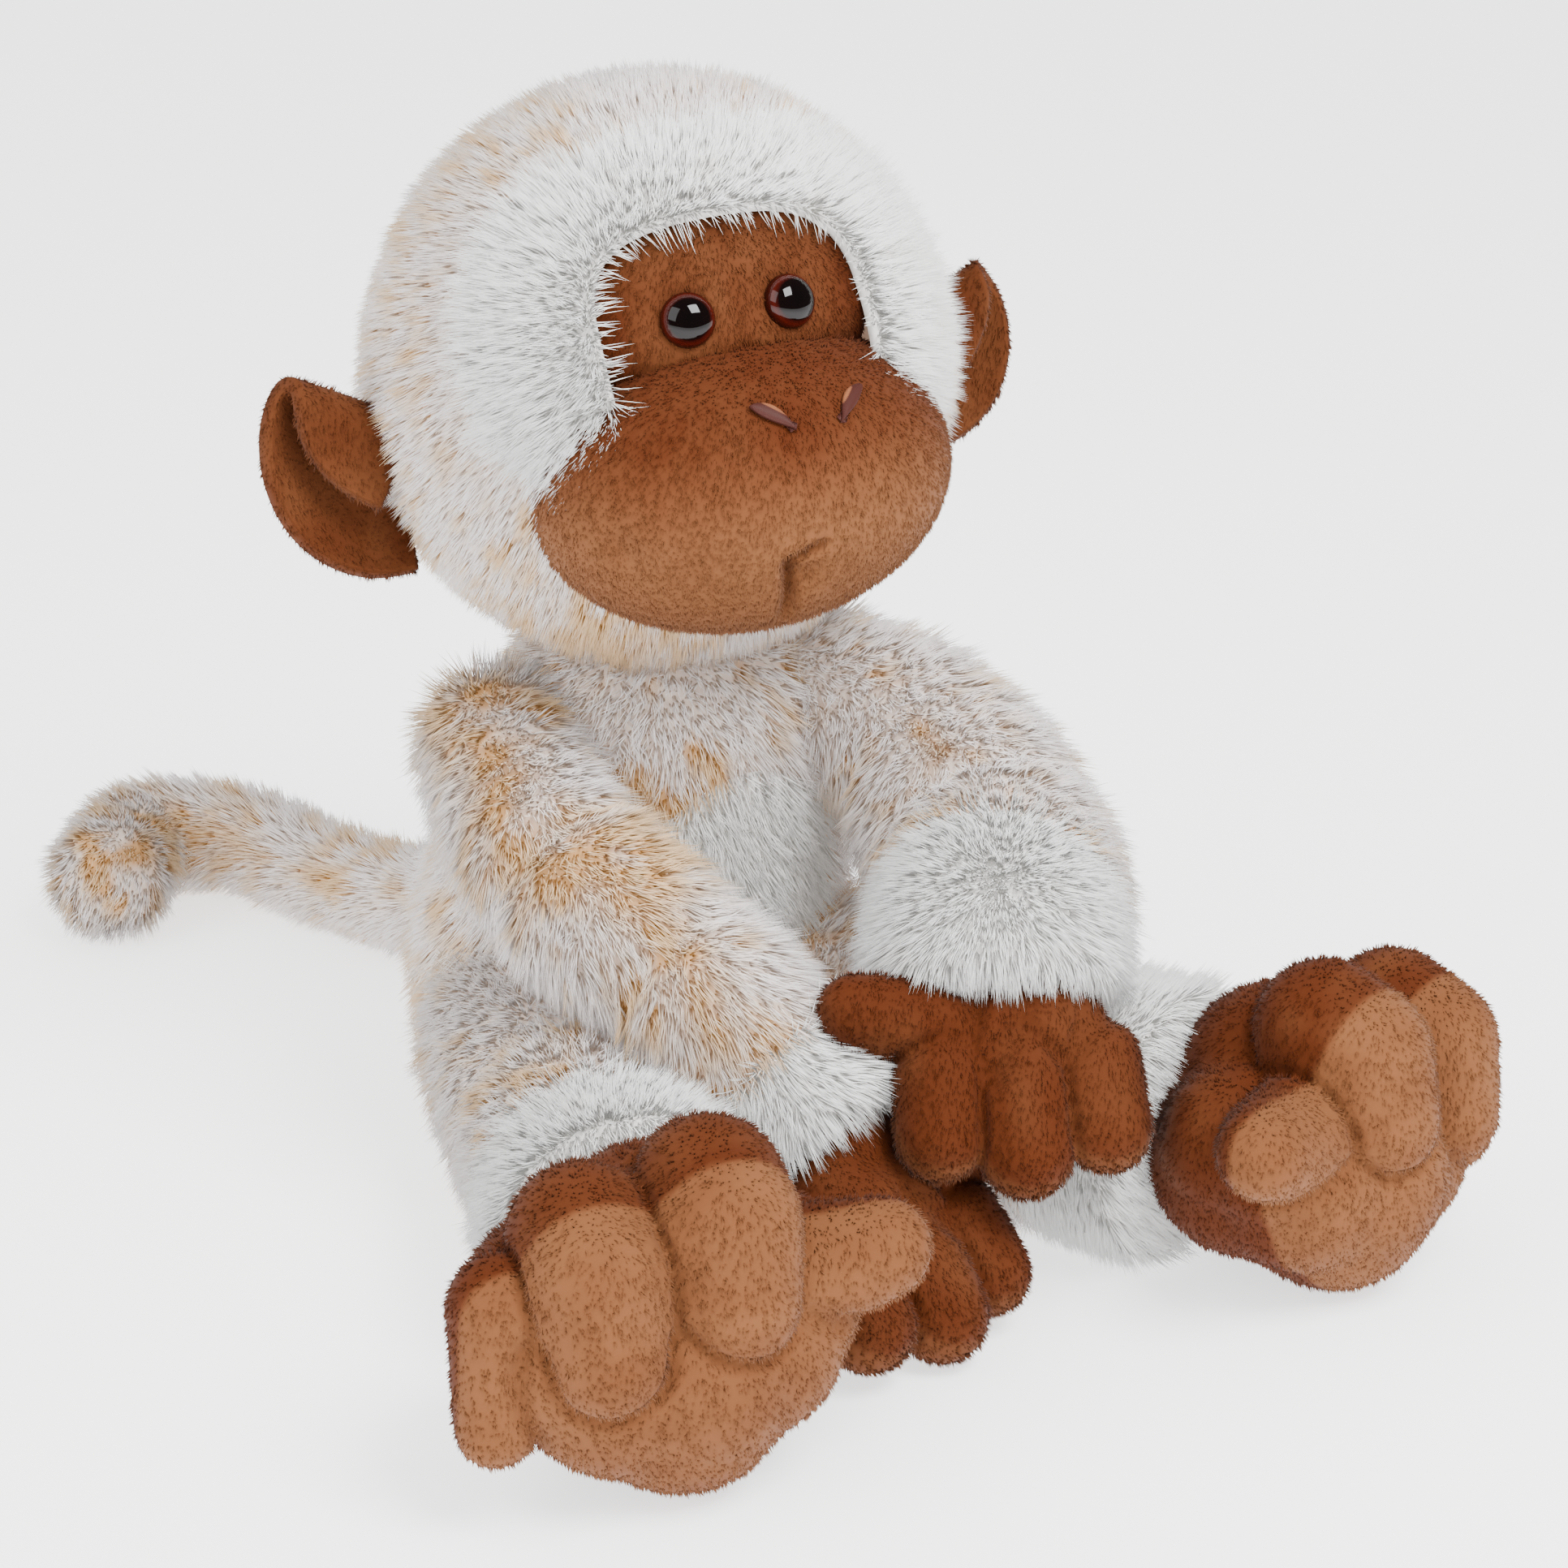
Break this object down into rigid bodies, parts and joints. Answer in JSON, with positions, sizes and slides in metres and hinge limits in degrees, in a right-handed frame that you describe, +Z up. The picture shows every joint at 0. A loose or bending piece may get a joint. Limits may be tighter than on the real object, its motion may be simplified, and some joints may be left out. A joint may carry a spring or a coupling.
{
  "type": "stuffed monkey",
  "caption": "Seated plush monkey with long limbs, curled toes, a long tail and a big soft muzzle, sewn from fur and short-nap panels over stuffing, with soft joints.",
  "frame": {"origin": "middle of the flat seat panel, on the surface that the toy sits on", "axes": "+Z up, the toy faces -Y, its own left side is +X"},
  "size_m": [0.2881, 0.4402, 0.277],
  "materials": {
    "frosted_plush": "long frosted faux fur, tan at the root and cream at the tip",
    "white_plush": "long white faux fur",
    "face_minky": "short nap minky, dark direction",
    "dark_minky": "short nap minky, dark direction",
    "brown_minky": "short nap minky",
    "safety_eye": "polished",
    "washer_plastic": "moulded satin",
    "embroidery": "satin stitch",
    "polyester_fill": "loose fibre",
    "pellet_bag": "woven cotton"
  },
  "bodies": {
    "torso": {"torso_back": "frosted_plush", "chest_bib": "frosted_plush", "belly_patch": "white_plush", "seat_panel": "frosted_plush", "torso_stuffing": "polyester_fill", "pellet_bag": "pellet_bag"},
    "neck": {"neck_plug": "polyester_fill"},
    "head": {"hood": "frosted_plush", "brow_panel": "white_plush", "face_panel": "face_minky", "muzzle": "brown_minky", "head_stuffing": "polyester_fill", "muzzle_stuffing": "polyester_fill", "eye_right": "safety_eye", "eye_left": "safety_eye", "eye_washer_right": "washer_plastic", "eye_washer_left": "washer_plastic", "nostril_right": "embroidery", "nostril_left": "embroidery"},
    "ear_right": {"ear_back_right": "dark_minky", "ear_lining_right": "brown_minky"},
    "ear_left": {"ear_back_left": "dark_minky", "ear_lining_left": "brown_minky"},
    "arm_right": {"arm_sleeve_right": "frosted_plush", "arm_cuff_right": "white_plush", "arm_stuffing_right": "polyester_fill", "hand_back_right": "dark_minky", "hand_palm_right": "brown_minky", "hand_stuffing_right": "polyester_fill"},
    "arm_left": {"arm_sleeve_left": "frosted_plush", "arm_cuff_left": "white_plush", "arm_stuffing_left": "polyester_fill"},
    "hand_left": {"hand_back_left": "dark_minky", "hand_palm_left": "brown_minky", "hand_stuffing_left": "polyester_fill"},
    "leg_right": {"leg_sleeve_right": "frosted_plush", "leg_cuff_right": "white_plush", "leg_stuffing_right": "polyester_fill"},
    "foot_right": {"foot_upper_right": "dark_minky", "foot_sole_right": "brown_minky", "foot_stuffing_right": "polyester_fill"},
    "leg_left": {"leg_sleeve_left": "frosted_plush", "leg_cuff_left": "white_plush", "leg_stuffing_left": "polyester_fill"},
    "foot_left": {"foot_upper_left": "dark_minky", "foot_sole_left": "brown_minky", "foot_stuffing_left": "polyester_fill"},
    "tail_base": {"tail_base": "frosted_plush", "tail_base_stuffing": "polyester_fill"},
    "tail_tip": {"tail_tip": "frosted_plush", "tail_tip_stuffing": "polyester_fill"}
  },
  "joints": [
    {"name": "neck_turn", "type": "hinge", "parent": "torso", "child": "neck", "pos_m": [0.005, -0.013, 0.15], "axis": [0, 0, 1], "range_deg": [-15, 15]},
    {"name": "head_nod", "type": "hinge", "parent": "neck", "child": "head", "pos_m": [0.005, -0.013, 0.15], "axis": [1, 0, 0], "range_deg": [-6, 6]},
    {"name": "ear_right_flex", "type": "hinge", "parent": "head", "child": "ear_right", "pos_m": [-0.06775, 0.00169, 0.18929], "axis": [-0.0822, 0.0453, 0.9956], "range_deg": [-12, 12]},
    {"name": "ear_left_flex", "type": "hinge", "parent": "head", "child": "ear_left", "pos_m": [0.08056, -0.01652, 0.20236], "axis": [-0.0822, 0.0453, 0.9956], "range_deg": [-12, 12]},
    {"name": "shoulder_left", "type": "hinge", "parent": "torso", "child": "arm_left", "pos_m": [0.044, -0.03, 0.118], "axis": [-1, 0, 0], "range_deg": [0, 32]},
    {"name": "shoulder_right", "type": "hinge", "parent": "torso", "child": "arm_right", "pos_m": [-0.042, -0.015, 0.112], "axis": [-1, 0, 0], "range_deg": [0, 22.4]},
    {"name": "wrist_left", "type": "hinge", "parent": "arm_left", "child": "hand_left", "pos_m": [0.032, -0.128, 0.084], "axis": [-0.9272, 0.3746, 0], "range_deg": [0, 25]},
    {"name": "hip_right", "type": "hinge", "parent": "torso", "child": "leg_right", "pos_m": [-0.03456, -0.022, 0.028], "axis": [0, 0, -1], "range_deg": [0, 20]},
    {"name": "hip_left", "type": "hinge", "parent": "torso", "child": "leg_left", "pos_m": [0.03456, -0.022, 0.028], "axis": [0, 0, 1], "range_deg": [0, 20]},
    {"name": "ankle_right", "type": "hinge", "parent": "leg_right", "child": "foot_right", "pos_m": [-0.06656, -0.134, 0.028], "axis": [-0.2747, -0.9615, 0], "range_deg": [-10, 10]},
    {"name": "ankle_left", "type": "hinge", "parent": "leg_left", "child": "foot_left", "pos_m": [0.06656, -0.134, 0.028], "axis": [0.2747, -0.9615, 0], "range_deg": [-10, 10]},
    {"name": "tail_swing", "type": "hinge", "parent": "torso", "child": "tail_base", "pos_m": [-0.004, 0.058, 0.04], "axis": [0, 0, 1], "range_deg": [-15, 15]},
    {"name": "tail_bend", "type": "hinge", "parent": "tail_base", "child": "tail_tip", "pos_m": [-0.02, 0.15, 0.017], "axis": [0, 0, 1], "range_deg": [-15, 15]}
  ],
  "couplings": [
    {"joint": "shoulder_right", "follows": "shoulder_left", "ratio": 0.7}
  ]
}
